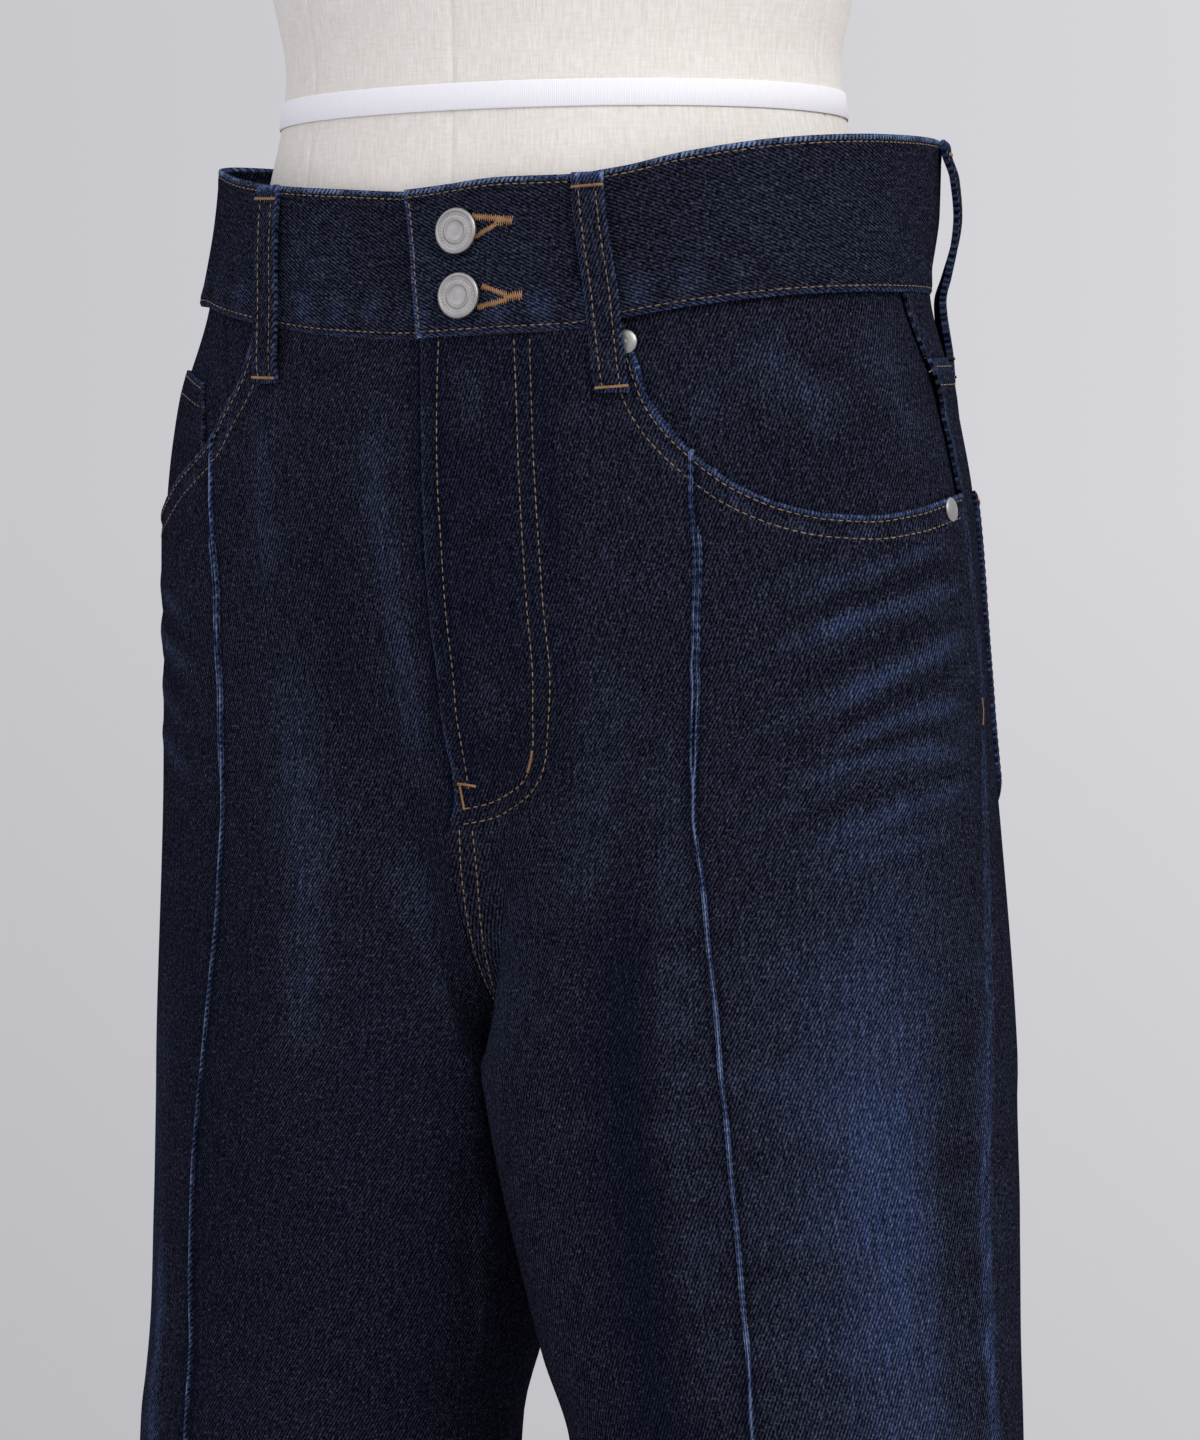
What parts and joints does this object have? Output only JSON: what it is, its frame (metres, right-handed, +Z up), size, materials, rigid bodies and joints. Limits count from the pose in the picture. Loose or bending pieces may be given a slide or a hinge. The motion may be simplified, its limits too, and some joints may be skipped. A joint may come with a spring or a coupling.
{
  "type": "flare jeans on dress form",
  "caption": "High-rise flare jeans in dark indigo twill with a button waistband, scoop pockets and a pin-tuck down each leg, worn by a limbless linen dress form on a pole stand.",
  "frame": {"origin": "centre of the underside of the round stand base", "axes": "+Z up the form, -Y towards the front of the jeans, +X towards the wearer's left"},
  "size_m": [0.427, 0.39, 1.5713],
  "materials": {
    "denim_indigo": "dark indigo right-hand twill denim with light abrasion on raised edges",
    "button_metal": "satin nickel shank button",
    "rivet_metal": "satin nickel domed rivet",
    "form_linen": "natural slubby linen cover",
    "form_tape": "woven white cotton tape",
    "stand_metal": "satin grey powder coat"
  },
  "bodies": {
    "root": {"back_left": "denim_indigo", "back_pocket_left": "denim_indigo", "back_pocket_right": "denim_indigo", "back_right": "denim_indigo", "belt_loop_back": "denim_indigo", "belt_loop_front_left": "denim_indigo", "belt_loop_front_right": "denim_indigo", "belt_loop_side_left": "denim_indigo", "belt_loop_side_right": "denim_indigo", "button_lower": "button_metal", "button_upper": "button_metal", "coin_pocket": "denim_indigo", "dress_form": "form_linen", "fly_shield": "denim_indigo", "front_left": "denim_indigo", "front_right": "denim_indigo", "neck_cap": "stand_metal", "pocket_facing_left": "denim_indigo", "pocket_facing_right": "denim_indigo", "rivet_lower_left": "rivet_metal", "rivet_lower_right": "rivet_metal", "rivet_upper_left": "rivet_metal", "rivet_upper_right": "rivet_metal", "stand_base": "stand_metal", "stand_collar": "stand_metal", "stand_pole": "stand_metal", "waist_tape": "form_tape", "waistband_left": "denim_indigo", "waistband_right": "denim_indigo", "yoke_left": "denim_indigo", "yoke_right": "denim_indigo"}
  },
  "joints": []
}
